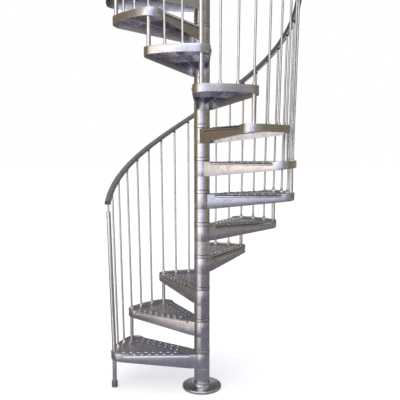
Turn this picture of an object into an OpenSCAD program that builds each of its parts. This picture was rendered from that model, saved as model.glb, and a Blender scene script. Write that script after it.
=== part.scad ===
// Spiral staircase of galvanised steel: pressed treads threaded on a centre pole,
// with a ring of round balusters under a helical plastic handrail.
// Millimetres, +Z up. The origin is on the pole's axis, at floor level.
// The stair climbs clockwise, seen from above, and starts on the -X side.

/* [Stair] */
// Number of treads, the landing tread included
tread_count = 12; // [6:1:13]
// Height from one tread to the next
rise = 210; // [190:1:230]
// Extra height under the first tread, left for the floor finish
floor_allowance = 19; // [0:1:40]
// Turn from one tread to the next, in degrees
tread_turn = 30; // [25:0.5:32]
// Direction of the first post, in degrees from +X
start_angle = 180; // [0:1:359]

/* [Column] */
// Outer diameter of the hubs and sleeves
column_d = 101.6; // [90:0.1:130]
// Wall of the hubs and sleeves
column_wall = 6; // [4:0.5:8]
// Wall of the pole that the hubs are threaded on
pole_wall = 5; // [3:0.5:8]
// Gap between the pole and a hub, at the radius
pole_clearance = 0.3; // [0.1:0.1:0.5]
// Height of the levelling ring on top of each hub
ring_h = 24; // [15:1:30]
// How far a levelling ring stands out of the column, at the radius
ring_proud = 1.2; // [0.5:0.1:3]
// Thickness of the base plate
base_t = 20; // [12:1:30]
// Diameter of the base plate
base_d = 256; // [200:1:320]
// Height of the collar on the base plate
collar_h = 26; // [15:1:40]
// Height of the column above the landing tread
newel_h = 950; // [100:10:1100]
// Height of the cap on top of the column
cap_h = 24; // [10:1:40]

/* [Treads] */
// Radius of the outer face of the rim
tread_r = 602; // [560:1:700]
// Thickness of the pressed sheet
sheet_t = 3; // [2:0.5:5]
// Depth of the rim, curb included
rim_h = 44; // [35:1:60]
// Depth of the rim on the landing tread
landing_rim_h = 76; // [60:1:90]
// Height of the curb above the deck
curb_h = 8; // [3:1:12]
// Depth of the hub and of the side skirts at the hub
hub_h = 92; // [80:1:120]
// Height of the hub above the deck
hub_proud = 6; // [2:1:15]
// Radius of the two outer corners, seen from above
corner_r = 70; // [55:1:90]
// Distance over which each end of the curb slopes down to the deck
curb_run = 36; // [10:1:60]
// How far the side skirts lie inside the hub's outer face
skirt_inset = 15.2; // [8:0.1:18]
// Angle by which each side skirt splays out from its radial line
skirt_splay = 1.6; // [0:0.1:3]
// Height of the pressed nosing along each side
nosing_h = 14; // [10:1:26]
// How far the nosing stands out of its skirt
nosing_proud = 4; // [2:0.5:6]
// Start of the nosing, from the pole's axis
nosing_from = 84; // [75:1:130]
// Space between the end of the nosing and the corner
nosing_margin = 22; // [10:1:60]
// Diameter of the bolt holes in the landing tread's rear skirt
fixing_hole_d = 13; // [9:0.5:18]
// Distance between those two bolt holes
fixing_pitch = 300; // [200:10:360]

/* [Balustrade] */
// Distance from the rim's outer face in to the circle that the balusters stand on
baluster_inset = 25; // [22:1:40]
// How far the balusters lean out, from foot to handrail
lean = 32; // [0:1:45]
// Balusters to each tread
balusters_per_tread = 3; // [2:1:4]
// Diameter of a baluster
baluster_d = 13; // [10:0.5:20]
// Outer diameter of the tubes that tie each tread to the next
tie_d = 24; // [20:0.5:32]
// Wall of those tubes
tie_wall = 2.5; // [2:0.5:4]
// Diameter of the posts
post_d = 28; // [24:0.5:34]
// Treads from the one that carries the middle post up to the landing tread
mid_post_below = 2; // [1:1:4]
// Diameter of the foot under the first post
foot_d = 40; // [36:1:60]
// Height of the foot under the first post
foot_h = 42; // [30:1:70]
// Base diameter of the cone round each baluster's foot
cone_d = 34; // [26:1:38]
// Height of that cone
cone_h = 30; // [12:1:40]
// Diameter of the sleeve nut under each baluster
nut_d = 16; // [14:1:22]
// Length of that nut
nut_l = 26; // [16:1:30]
// Height of the steel strip's underside over the front corner of a tread
rail_height = 990; // [850:1:1100]
// Width of the handrail
rail_w = 38; // [34:1:50]
// Height of the handrail
rail_h = 33; // [28:1:45]
// Width of the steel strip inside the handrail
strip_w = 20; // [14:1:26]
// Thickness of the steel strip
strip_t = 5; // [4:1:8]
// Gap between the strip and the plastic handrail
strip_gap = 0.5; // [0.4:0.1:1]
// Length of handrail beyond the axis of each end post
rail_over = 9; // [8:1:40]
// Thickness of the handrail's end caps
end_cap_t = 4; // [3:1:12]
// Height of the collar at the top of each baluster
collar_top_h = 12; // [8:1:24]
// Length of the screw neck at the top of each post
neck_l = 50; // [30:1:70]

/* [Hidden] */
$fn = 48;
eps = 1;
seat = 0.2; // gap round a rod, post or sleeve in what it seats in
rail_seat = 0.3; // gap between a rod and the strip over it
column_r = column_d / 2;
bore_r = column_r - column_wall;
pole_r = bore_r - pole_clearance;
skirt_s = column_r - skirt_inset; // from the pole's axis to the skirt's outer face, square to the skirt
skirt_turn = tread_turn / 2 + skirt_splay; // from the tread's middle to the direction of each skirt
hub_top = hub_proud + ring_h; // from the deck to the top of the levelling ring
baluster_ring_r = tread_r - baluster_inset;
helix_r = baluster_ring_r + lean;
rail_base = floor_allowance + rise + rail_height; // underside of the strip at step 0
step_run = helix_r * tread_turn * PI / 180; // one step along the handrail, seen from above
rail_overrun = rail_over / step_run; // in steps
slope = atan(rise / step_run);
column_top = deck_z(tread_count) + newel_h;
mid_post_tread = tread_count - mid_post_below;
post_steps = [0, mid_post_tread - 1, tread_count];

TREADS = [for (n = [1:tread_count - 1]) str("tread_", n < 10 ? "0" : "", n)];
RAILINGS = [for (n = [1:tread_count]) str("balusters_", n < 10 ? "0" : "", n)];

// Height of the walking surface of tread n
function deck_z(n) = floor_allowance + n * rise;
// Direction of step i: whole numbers are the front corners of the treads
function step_angle(i) = start_angle - i * tread_turn;
// Height of the strip's underside at step i
function rail_z(i) = rail_base + i * rise;
// Step of baluster k on tread n
function baluster_step(n, k) = n - 1 + k / balusters_per_tread;
// Steps of the thin balusters on tread n, where no post stands
function thin_steps(n) =
    [for (k = [0:balusters_per_tread - 1])
        let (i = baluster_step(n, k))
        if (min([for (p = post_steps) abs(i - p)]) > 0.01) i];
// Tilt of a rod that stands at height z and meets the handrail at step i
function rod_tilt(z, i) = atan(lean / (rail_z(i) - z));
function polar(r, a) = [r * cos(a), r * sin(a)];
// Points of an arc about c from angle a to angle b, in equal steps of about 'by' degrees
function arc(c, r, a, b, by) =
    let (n = max(1, ceil(abs(b - a) / by)))
    [for (k = [0:n]) c + polar(r, a + (b - a) * k / n)];

// Outline of a tread seen from above, with its front radial along +X, shrunk by 'inset'
function tread_outline(inset = 0) =
    let (
        s = skirt_s - inset,
        off = skirt_splay + asin((skirt_s - corner_r) / (tread_r - corner_r)),
        front = polar(tread_r - corner_r, off),
        rear = polar(tread_r - corner_r, -tread_turn - off)
    )
    concat(
        [polar(s, 90 + skirt_splay)],
        arc(front, corner_r - inset, 90 + skirt_splay, off, 7.5),
        arc([0, 0], tread_r - inset, off - 1.5, -tread_turn - off + 1.5, 1.5),
        arc(rear, corner_r - inset, -tread_turn - off, -tread_turn - 90 - skirt_splay, 7.5),
        [polar(s, -tread_turn - 90 - skirt_splay)]
    );

// Side view of a tread, which gives the skirts their taper, the rim its depth and the curb its ends:
// the curb keeps its full height as far as the corners reach
module tread_side(rim_drop) {
    curb_to = (tread_r - corner_r) * cos(skirt_turn) - skirt_s * sin(skirt_turn);
    rotate(-tread_turn / 2)
        rotate([90, 0, 0])
            linear_extrude(tread_r * 2, center = true)
                polygon([
                    [-column_r, -hub_h], [column_r + 10, -hub_h], [tread_r + eps, -rim_drop],
                    [tread_r + eps, curb_h], [curb_to, curb_h], [curb_to - curb_run, 0], [-column_r, 0]
                ]);
}

// Pressed nosing along one side: square at the outer end, swept up to the deck at the hub end
module nosing(front) {
    q = nosing_h - sheet_t;
    to = tread_r - corner_r - nosing_margin;
    rotate(front ? skirt_splay : -tread_turn - skirt_splay)
        translate([0, front ? skirt_s + nosing_proud : eps - skirt_s, 0])
            rotate([90, 0, 0])
                linear_extrude(nosing_proud + eps)
                    polygon(concat(
                        [[nosing_from, 0], [to, 0], [to, -nosing_h]],
                        arc([nosing_from + q, q - nosing_h], q, 270, 180, 15)
                    ));
}

// One tread at the origin, with its deck at z = 0
module tread_body(rim_drop) {
    difference() {
        union() {
            intersection() {
                translate([0, 0, -hub_h])
                    linear_extrude(hub_h + curb_h)
                        polygon(tread_outline());
                tread_side(rim_drop);
            }
            translate([0, 0, -hub_h])
                cylinder(r = column_r, h = hub_h + hub_proud);
            nosing(true);
            nosing(false);
        }
        // hollow under the deck
        difference() {
            translate([0, 0, -hub_h - eps])
                linear_extrude(hub_h + eps - sheet_t)
                    polygon(tread_outline(sheet_t));
            translate([0, 0, -hub_h - 2 * eps])
                cylinder(r = column_r, h = hub_h + 2 * eps);
        }
        // space inside the curb
        difference() {
            linear_extrude(curb_h + eps)
                polygon(tread_outline(sheet_t));
            translate([0, 0, -eps])
                cylinder(r = column_r, h = curb_h + 3 * eps);
        }
        translate([0, 0, -hub_h - eps])
            cylinder(r = bore_r, h = hub_h + hub_proud + 2 * eps);
    }
}

module tread(n) {
    color("silver")
        translate([0, 0, deck_z(n)])
            rotate(step_angle(n - 1))
                tread_body(rim_h - curb_h);
}

// The top tread has deeper skirts, and two bolt holes in the rear one to fix it to the upper floor
module landing_tread() {
    n = tread_count;
    hole_z = -(landing_rim_h - curb_h) * 0.55;
    mid = (column_r + tread_r - corner_r) / 2;
    color("silver")
        translate([0, 0, deck_z(n)])
            rotate(step_angle(n - 1))
                difference() {
                    tread_body(landing_rim_h - curb_h);
                    for (side = [-1, 1])
                        rotate(-tread_turn - skirt_splay)
                            translate([mid + side * fixing_pitch / 2, -skirt_s - eps, hole_z])
                                rotate([-90, 0, 0])
                                    cylinder(d = fixing_hole_d, h = sheet_t + 2 * eps);
                }
}

module base_plate() {
    edge = 5; // rounding of the top edge
    flare = 9;
    color("silver")
        difference() {
            rotate_extrude($fn = 96)
                polygon(concat(
                    [[0, 0], [base_d / 2, 0]],
                    arc([base_d / 2 - edge, base_t - edge], edge, 0, 90, 22.5),
                    [[column_r + flare, base_t], [column_r + 3, base_t + collar_h], [0, base_t + collar_h]]
                ));
            translate([0, 0, base_t])
                cylinder(r = column_r + seat, h = collar_h + eps);
        }
}

// Plain length of column tube between two heights
module column_tube(low, high, outer_r = column_r) {
    translate([0, 0, low])
        difference() {
            cylinder(r = outer_r, h = high - low);
            translate([0, 0, -eps])
                cylinder(r = bore_r, h = high - low + 2 * eps);
        }
}

module centre_pole() {
    color("silver")
        translate([0, 0, base_t])
            difference() {
                cylinder(r = pole_r, h = column_top - base_t);
                translate([0, 0, -eps])
                    cylinder(r = pole_r - pole_wall, h = column_top - base_t + 2 * eps);
            }
}

module spacer_sleeves() {
    color("silver") {
        column_tube(base_t, deck_z(1) - hub_h);
        for (n = [2:tread_count])
            column_tube(deck_z(n - 1) + hub_top, deck_z(n) - hub_h);
    }
}

module levelling_rings() {
    color("silver")
        for (n = [1:tread_count])
            column_tube(deck_z(n) + hub_proud, deck_z(n) + hub_top, column_r + ring_proud);
}

module newel_sleeve() {
    color("silver")
        column_tube(deck_z(tread_count) + hub_top, column_top);
}

module column_cap() {
    color("dimgray")
        translate([0, 0, column_top])
            rotate_extrude()
                polygon([
                    [0, 0], [column_r + ring_proud, 0], [column_r + ring_proud, cap_h * 0.4],
                    [column_r * 0.85, cap_h * 0.8], [column_r * 0.5, cap_h], [0, cap_h]
                ]);
}

// Puts its children on the baluster circle at step i, with +X outwards
module at_foot(i, z) {
    rotate(step_angle(i))
        translate([baluster_ring_r, 0, z])
            children();
}

// Puts its children under the handrail at step i, tilted like a rod that stands at height z
module at_rail(i, z) {
    rotate(step_angle(i))
        translate([helix_r, 0, rail_z(i)])
            rotate([0, rod_tilt(z, i), 0])
                children();
}

// Trims its children just under the handrail's steel strip at step i
module trim_under_rail(i) {
    big = rail_w * 3;
    difference() {
        children();
        rotate(step_angle(i))
            translate([helix_r, 0, rail_z(i)])
                rotate([-slope, 0, 0])
                    translate([-big / 2, -big / 2, -rail_seat])
                        cube(big);
    }
}

// Leaning rod with its foot trimmed flush on the deck at height z. It runs to the handrail's
// underside at step i, plus 'over', which is negative where the rod stops short
module leaning_rod(d, z, i, over) {
    tilt = rod_tilt(z, i);
    reach = (rail_z(i) - z) / cos(tilt);
    at_foot(i, z)
        difference() {
            rotate([0, tilt, 0])
                translate([0, 0, -d / 2])
                    cylinder(d = d, h = d / 2 + reach + over);
            translate([-d, -d, -2 * d])
                cube(2 * d);
        }
}

module balusters(n) {
    color("silver")
        for (i = thin_steps(n))
            trim_under_rail(i)
                leaning_rod(baluster_d, deck_z(n), i, baluster_d);
}

// Tubes from the rear corner of each tread up to the front corner of the next
module tie_tubes() {
    color("silver")
        for (n = [2:tread_count])
            at_foot(n - 1, deck_z(n - 1))
                difference() {
                    cylinder(d = tie_d, h = rise - sheet_t);
                    translate([0, 0, -eps])
                        cylinder(d = tie_d - 2 * tie_wall, h = rise + eps);
                }
}

module baluster_cones() {
    color("silver")
        for (n = [1:tread_count], i = thin_steps(n))
            at_foot(i, deck_z(n))
                difference() {
                    cylinder(d1 = cone_d, d2 = baluster_d + 5, h = cone_h);
                    rotate([0, rod_tilt(deck_z(n), i), 0])
                        translate([0, 0, -cone_h])
                            cylinder(d = baluster_d + 2 * seat, h = cone_h * 3);
                }
}

// Sleeve nuts that hold the intermediate balusters from under the deck
module baluster_nuts() {
    color("silver")
        for (n = [1:tread_count], k = [1:balusters_per_tread - 1])
            at_foot(baluster_step(n, k), deck_z(n) - sheet_t - nut_l)
                cylinder(d = nut_d, h = nut_l);
}

// Collars between the balusters and the handrail
module baluster_collars() {
    color("black")
        for (n = [1:tread_count], i = thin_steps(n))
            trim_under_rail(i)
                at_rail(i, deck_z(n))
                    translate([0, 0, -collar_top_h])
                        difference() {
                            cylinder(d = baluster_d + 6, h = collar_top_h * 2);
                            translate([0, 0, -eps])
                                cylinder(d = baluster_d + 2 * seat, h = collar_top_h * 2 + 2 * eps);
                        }
}

// Thick post on the deck of tread n at step i, with a thin screw neck up to the handrail
module post(n, i) {
    shoulder = 6;
    trim_under_rail(i)
        union() {
            leaning_rod(post_d, deck_z(n), i, eps - neck_l - shoulder);
            at_rail(i, deck_z(n)) {
                translate([0, 0, -neck_l - shoulder])
                    cylinder(d1 = post_d, d2 = baluster_d + 4, h = shoulder);
                translate([0, 0, -neck_l - eps])
                    cylinder(d = baluster_d, h = neck_l + post_d);
            }
        }
}

module start_post() {
    color("silver") {
        post(1, 0);
        at_foot(0, foot_h / 2)
            cylinder(d = post_d, h = deck_z(1) - sheet_t - foot_h / 2);
    }
}

module start_foot() {
    edge = 4;
    color("gray")
        at_foot(0, 0)
            difference() {
                rotate_extrude()
                    polygon(concat(
                        [[0, 0], [foot_d / 2 + 1, 0], [foot_d / 2 + 1, edge], [foot_d / 2, edge + 1]],
                        arc([foot_d / 2 - edge, foot_h - edge], edge, 0, 90, 22.5),
                        [[0, foot_h]]
                    ));
                translate([0, 0, foot_h / 2])
                    cylinder(d = post_d + 2 * seat, h = foot_h);
            }
}

module middle_post() {
    color("silver")
        post(mid_post_tread, mid_post_tread - 1);
}

module end_post() {
    color("silver")
        post(tread_count, tread_count);
}

// Bar with a constant upright section that follows the handrail from one step to another
module helix_bar(section, from, to) {
    rings = ceil((to - from) * tread_turn / 3);
    m = len(section);
    points = [for (k = [0:rings], p = section)
        let (i = from + (to - from) * k / rings)
        [(helix_r + p[0]) * cos(step_angle(i)), (helix_r + p[0]) * sin(step_angle(i)), rail_z(i) + p[1]]];
    sides = [for (k = [0:rings - 1], j = [0:m - 1])
        let (a = k * m + j, b = k * m + (j + 1) % m)
        each [[a, a + m, b + m], [a, b + m, b]]];
    ends = [[for (j = [0:m - 1]) j], [for (j = [m - 1:-1:0]) rings * m + j]];
    polyhedron(points, concat(sides, ends));
}

// Upright sections are taller than square ones by the slope of the handrail
function upright(section) = [for (p = section) [p[0], p[1] / cos(slope)]];
// Rounded outline of the handrail, from the right lip round over the top to the left lip
function rail_outline(w, h) =
    let (lip = min(w * 0.22, (w - strip_w) / 2 - 2 * strip_gap), q = min(w * 0.48, h - lip - 2))
    concat(
        arc([w / 2 - lip, lip], lip, 270, 360, 30),
        arc([w / 2 - q, h - q], q, 0, 90, 18),
        arc([q - w / 2, h - q], q, 90, 180, 18),
        arc([lip - w / 2, lip], lip, 180, 270, 30)
    );
// The channel in the handrail's underside that takes the strip
function rail_channel() =
    let (x = strip_w / 2 + strip_gap, y = strip_t + strip_gap)
    [[-x, 0], [-x, y], [x, y], [x, 0]];

module handrail_strip() {
    x = strip_w / 2;
    color("silver")
        helix_bar(upright([[-x, 0], [x, 0], [x, strip_t], [-x, strip_t]]), -rail_overrun, tread_count + rail_overrun);
}

module handrail() {
    color("dimgray")
        helix_bar(upright(concat(rail_outline(rail_w, rail_h), rail_channel())),
                  -rail_overrun, tread_count + rail_overrun);
}

module handrail_caps() {
    reach = end_cap_t / step_run;
    color("black")
        for (from = [-rail_overrun - reach, tread_count + rail_overrun])
            helix_bar(upright(rail_outline(rail_w + 2, rail_h + 1)), from, from + reach);
}

base_plate();
centre_pole();
spacer_sleeves();
levelling_rings();
newel_sleeve();
column_cap();
for (n = [1:tread_count - 1]) tread(n);
landing_tread();
for (n = [1:tread_count]) balusters(n);
tie_tubes();
baluster_cones();
baluster_nuts();
baluster_collars();
start_post();
start_foot();
middle_post();
end_post();
handrail_strip();
handrail();
handrail_caps();
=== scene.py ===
import bpy
import bmesh
from math import asin, atan2, copysign, cos, degrees, hypot, pi, radians, sin, sqrt, tau
from mathutils import Matrix, Vector
from mathutils.geometry import delaunay_2d_cdt


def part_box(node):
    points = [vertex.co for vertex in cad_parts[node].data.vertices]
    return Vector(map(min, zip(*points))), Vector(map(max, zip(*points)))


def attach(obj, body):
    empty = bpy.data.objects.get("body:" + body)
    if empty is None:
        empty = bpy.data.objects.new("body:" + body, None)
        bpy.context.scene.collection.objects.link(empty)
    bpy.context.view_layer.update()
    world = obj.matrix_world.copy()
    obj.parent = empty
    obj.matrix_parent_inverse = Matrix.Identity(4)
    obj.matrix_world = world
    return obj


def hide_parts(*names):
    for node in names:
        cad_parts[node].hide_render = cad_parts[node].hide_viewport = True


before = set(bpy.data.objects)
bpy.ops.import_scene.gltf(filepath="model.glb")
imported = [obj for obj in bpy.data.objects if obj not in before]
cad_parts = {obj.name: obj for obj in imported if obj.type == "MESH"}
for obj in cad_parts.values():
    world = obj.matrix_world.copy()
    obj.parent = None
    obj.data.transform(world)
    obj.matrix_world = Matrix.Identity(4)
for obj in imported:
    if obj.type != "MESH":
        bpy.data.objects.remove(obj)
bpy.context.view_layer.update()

# sizes shared by every piece, in metres and degrees
stair = {
    "treads": 12,
    "turn": 30.0,  # from one tread to the next, clockwise seen from above
    "startAngle": 180.0,  # direction of the first post
    "ring": 0.577,  # radius of the circle that the balusters stand on
    "lean": 0.032,  # balusters lean out this much by the handrail
    "perTread": 3,  # balusters
    "curb": 0.008,  # raised outer edge of a deck
    "splay": 1.6,  # each side skirt opens out by this angle
    "postTread": 10,  # the middle post stands on this tread
    "railOver": 0.009,  # handrail beyond the axis of each end post
}
turn, splay = radians(stair["turn"]), radians(stair["splay"])
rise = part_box("tread_02")[1].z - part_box("tread_01")[1].z
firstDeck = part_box("tread_01")[1].z - stair["curb"]
helixRadius = stair["ring"] + stair["lean"]
climb = rise / (helixRadius * turn)
# height of the handrail strip's underside at the first post
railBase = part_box("handrail_strip")[0].z + stair["railOver"] * climb
sleeveLow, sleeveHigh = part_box("newel_sleeve")
columnRadius = (sleeveHigh.x - sleeveLow.x) / 2
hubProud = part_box("levelling_rings")[0].z - firstDeck
allTreads = range(1, stair["treads"] + 1)


def deckHeight(n):
    return firstDeck + (n - 1) * rise


def stepAngle(i):
    return radians(stair["startAngle"] - i * stair["turn"])


def blend(a, b, share):
    return a + (b - a) * share


def ray(angle):
    return Vector((cos(angle), sin(angle)))


def newObject(name, mesh):
    piece = bpy.data.objects.new(name, mesh)
    bpy.context.scene.collection.objects.link(piece)
    return piece


def addPiece(name, mesh, material, node):
    piece = newObject(name, mesh)
    mesh.name = name
    mesh.materials.clear()
    mesh.materials.append(material)
    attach(piece, "root")
    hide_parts(node)


def bareMesh(bm):
    mesh = bpy.data.meshes.new("part")
    bm.to_mesh(mesh)
    bm.free()
    return mesh


def placeVerts(bm, spots):
    # spots are a flat point and a height
    return [bm.verts.new((p.x, p.y, z)) for p, z in spots]


def smoothMesh(bm, sharpAngle):
    # edges bent by more than this angle stay sharp
    bmesh.ops.recalc_face_normals(bm, faces=bm.faces)
    for face in bm.faces:
        face.smooth = True
    limit = radians(sharpAngle)
    for edge in bm.edges:
        if len(edge.link_faces) == 2 and edge.calc_face_angle(0) > limit:
            edge.smooth = False
    return bareMesh(bm)


def bridge(bm, loopA, loopB, closed=True):
    count = len(loopA)
    for k in range(count if closed else count - 1):
        after = (k + 1) % count
        corners = list(dict.fromkeys([loopA[k], loopA[after], loopB[after], loopB[k]]))
        if len(corners) > 2:
            bm.faces.new(corners)


def circle(bm, radius, z, count):
    return [bm.verts.new((radius * cos(tau * k / count), radius * sin(tau * k / count), z))
            for k in range(count)]


def lathe(rows, segments):
    # rows are radius, height and (if it is a seam with painted shade) 1, round a closed profile spun about
    # the Z axis
    bm = bmesh.new()
    shadedSeam = bm.verts.layers.float.new("shadedSeam")
    loops = []
    for radius, height, *paintedShade in rows:
        if radius == 0:
            loops.append([bm.verts.new((0, 0, height))] * segments)
        else:
            loops.append(circle(bm, radius, height, segments))
        for vert in loops[-1]:
            vert[shadedSeam] = paintedShade[0] if paintedShade else 0
    for rowA, rowB in zip(loops, loops[1:] + loops[:1]):
        if rowA[0] is not rowA[1] or rowB[0] is not rowB[1]:
            bridge(bm, rowA, rowB)
    return smoothMesh(bm, sharpAngle=28)


def joinMeshes(meshes):
    bm = bmesh.new()
    bm.verts.layers.float.new("shadedSeam")  # made first, so that no part drops it
    for mesh in meshes:
        bm.from_mesh(mesh)
    return bareMesh(bm)


def arcPoints(x, y, radius, start, stop, count):
    angles = [radians(blend(start, stop, k / count)) for k in range(count + 1)]
    return [(x + radius * cos(a), y + radius * sin(a)) for a in angles]


def setInputs(tree, node, inputs):
    # an input takes a value, or a link from another node's socket
    for key, value in inputs.items():
        if isinstance(value, bpy.types.NodeSocket):
            tree.links.new(value, node.inputs[key])
        else:
            node.inputs[key].default_value = value


def addNode(tree, kind, inputs=None, family="ShaderNode", **settings):
    node = tree.nodes.new(family + kind)
    for key, value in settings.items():
        setattr(node, key, value)
    setInputs(tree, node, inputs or {})
    return node


def newMaterial(name, kind="BsdfPrincipled"):
    material = bpy.data.materials.new(name)
    material.use_nodes = True
    tree = material.node_tree
    tree.nodes.clear()
    shader = addNode(tree, kind)
    addNode(tree, "OutputMaterial", {0: shader.outputs[0]})
    return material, tree, shader


def opaque(colour):
    return (*colour, 1) if isinstance(colour, tuple) else colour


def noise(tree, coords, scale, detail, roughness):
    return addNode(tree, "TexNoise", {
        "Vector": coords, "Scale": scale, "Detail": detail, "Roughness": roughness}).outputs["Fac"]


def squeezed(tree, coords, share):
    # a pattern on these coordinates is drawn out along the Z axis
    return addNode(tree, "Mapping", {"Vector": coords, "Scale": (1, 1, share)}).outputs[0]


def fade(tree, source, spread, dark, light):
    node = addNode(tree, "ValToRGB", {0: source})
    for element, place, colour in zip(node.color_ramp.elements, (0.5 - spread, 0.5 + spread), (dark, light)):
        element.position = place
        element.color = opaque(colour)
    return node.outputs[0]


def mixColour(tree, factor, a, b):
    return addNode(tree, "Mix", {0: factor, 6: opaque(a), 7: opaque(b)}, data_type="RGBA").outputs[2]


def remap(tree, value, fromMin, fromMax, toMin, toMax):
    return addNode(tree, "MapRange", {
        "Value": value, "From Min": fromMin, "From Max": fromMax, "To Min": toMin,
        "To Max": toMax}).outputs[0]


def bump(tree, height, strength, distance, under=None):
    inputs = {"Strength": strength, "Distance": distance, "Height": height}
    if under is not None:
        inputs["Normal"] = under
    return addNode(tree, "Bump", inputs).outputs["Normal"]


# zinc: a cloudy coat with faint crystals, runs down the surface and a fine grain, with painted shade in the
# seams
zinc = {
    "cloud": (26.0, 5.0, 0.62),  # scale, detail and roughness of a noise
    "speckle": (120.0, 3.0, 0.7),
    "runs": (60.0, 3.0, 0.55),
    "grain": (480.0, 2.0, 0.6),
    "crystals": 95.0,  # to the metre
    "crystalBlur": 0.35,
    "runLength": 0.12,  # runs are longer as this gets smaller
    "cloudFade": 0.14, "speckleFade": 0.16, "crystalFade": 0.3, "runFade": 0.1,
    "speckleMix": 0.45, "crystalMix": 0.22, "runMix": 0.2,
    "mottle": 0.6,  # how much of these tones shows
    "cloudLow": 0.3, "cloudHigh": 0.7,
    "dull": 0.08, "shine": 0.07,  # low clouds are duller, high ones shinier
    "speckleRelief": (0.18, 0.0008),  # strength and depth
    "grainRelief": (0.15, 0.0004),
    "paintedShade": (0.035, 0.033, 0.04),  # painted shade in the seams and grooves
}


def zincMaterial(name, dark, light, roughness):
    material, tree, shader = newMaterial(name)
    coords = addNode(tree, "TexCoord").outputs["Object"]
    crystals = addNode(tree, "TexVoronoi", feature="SMOOTH_F1")
    setInputs(tree, crystals, {
        "Vector": coords, "Scale": zinc["crystals"], "Smoothness": zinc["crystalBlur"]})
    cloud, speckle, grain = [noise(tree, coords, *zinc[key]) for key in ("cloud", "speckle", "grain")]
    runs = noise(tree, squeezed(tree, coords, zinc["runLength"]), *zinc["runs"])
    tone = fade(tree, cloud, zinc["cloudFade"], dark, light)
    for kind, source in (("speckle", speckle), ("crystal", crystals.outputs["Color"]), ("run", runs)):
        other = fade(tree, source, zinc[kind + "Fade"], dark, light)
        tone = mixColour(tree, zinc[kind + "Mix"], tone, other)
    middle = tuple((a + b) / 2 for a, b in zip(dark, light))
    tone = mixColour(tree, zinc["mottle"], middle, tone)
    # this mask marks the seams and grooves that get painted shade
    shadedSeam = addNode(tree, "Attribute", attribute_name="shadedSeam").outputs["Fac"]
    relief = bump(tree, speckle, *zinc["speckleRelief"])
    setInputs(tree, shader, {
        "Base Color": mixColour(tree, shadedSeam, tone, zinc["paintedShade"]),
        "Metallic": 1.0,
        "Roughness": remap(tree, cloud, zinc["cloudLow"], zinc["cloudHigh"], roughness + zinc["dull"],
                           roughness - zinc["shine"]),
        "Normal": bump(tree, grain, *zinc["grainRelief"], relief)})
    return material


# bright drawn tube: faint lines along its length and a little cloudy zinc
tube = {
    "cloud": (16.0, 4.0, 0.6),
    "lines": (700.0, 2.0, 0.5),
    "lineLength": 0.04,
    "cloudFade": 0.2, "lineFade": 0.15,
    "lineMix": 0.12,
    "shine": 0.06, "dull": 0.08,
    "relief": (0.03, 0.0001),
}


def tubeMaterial(name, dark, light, roughness):
    material, tree, shader = newMaterial(name)
    coords = addNode(tree, "TexCoord").outputs["Object"]
    lines = noise(tree, squeezed(tree, coords, tube["lineLength"]), *tube["lines"])
    cloud = noise(tree, coords, *tube["cloud"])
    tone = mixColour(tree, tube["lineMix"], fade(tree, cloud, tube["cloudFade"], dark, light),
                     fade(tree, lines, tube["lineFade"], dark, light))
    setInputs(tree, shader, {
        "Base Color": tone,
        "Metallic": 1.0,
        "Roughness": remap(tree, cloud, 0.0, 1.0, roughness - tube["shine"], roughness + tube["dull"]),
        "Normal": bump(tree, lines, *tube["relief"])})
    return material


# moulded plastic, with painted shade on the faces that look down
plastic = {
    "cloud": (9.0, 4.0, 0.55),
    "grain": (2.0, 0.7),  # detail and roughness; each plastic has its own scale
    "cloudFade": 0.2,
    "underShadeFrom": 0.25, "underShadeFull": -0.9,  # upward part of a face's direction
    "underShade": 0.5,  # share of the dark tone left in the painted shade
    "shine": 0.05, "dull": 0.08,
    "ior": 1.5,
    "relief": (0.15, 0.0003),
}


def plasticMaterial(name, dark, light, roughness, grainScale):
    material, tree, shader = newMaterial(name)
    coords = addNode(tree, "TexCoord").outputs["Object"]
    cloud = noise(tree, coords, *plastic["cloud"])
    grain = noise(tree, coords, grainScale, *plastic["grain"])
    facing = addNode(tree, "SeparateXYZ", {0: addNode(tree, "NewGeometry").outputs["Normal"]})
    # faces that look down get painted shade, darkest where they face straight down
    under = remap(tree, facing.outputs[2], plastic["underShadeFrom"], plastic["underShadeFull"], 0.0, 1.0)
    underShade = tuple(c * plastic["underShade"] for c in dark)
    setInputs(tree, shader, {
        "Base Color": mixColour(tree, under, fade(tree, cloud, plastic["cloudFade"], dark, light), underShade),
        "Roughness": remap(tree, grain, 0.0, 1.0, roughness - plastic["shine"], roughness + plastic["dull"]),
        "IOR": plastic["ior"],
        "Normal": bump(tree, grain, *plastic["relief"])})
    return material


# each finish: dark tone, light tone and roughness
columnZinc = zincMaterial("columnZinc", (0.36, 0.36, 0.39), (0.78, 0.77, 0.79), 0.24)
treadZinc = zincMaterial("treadZinc", (0.38, 0.37, 0.405), (0.75, 0.73, 0.78), 0.29)
brightTube = tubeMaterial("brightTube", (0.56, 0.56, 0.575), (0.76, 0.76, 0.775), 0.26)
stripSteel = tubeMaterial("stripSteel", (0.84, 0.83, 0.82), (0.93, 0.92, 0.91), 0.36)
footMetal = tubeMaterial("footMetal", (0.2, 0.2, 0.22), (0.34, 0.34, 0.37), 0.42)
railPlastic = plasticMaterial("railPlastic", (0.165, 0.15, 0.17), (0.225, 0.207, 0.232), 0.5, grainScale=900)
blackPlastic = plasticMaterial("blackPlastic", (0.012, 0.012, 0.014), (0.03, 0.03, 0.033), 0.4,
                               grainScale=1200)
print("materials made")


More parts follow.
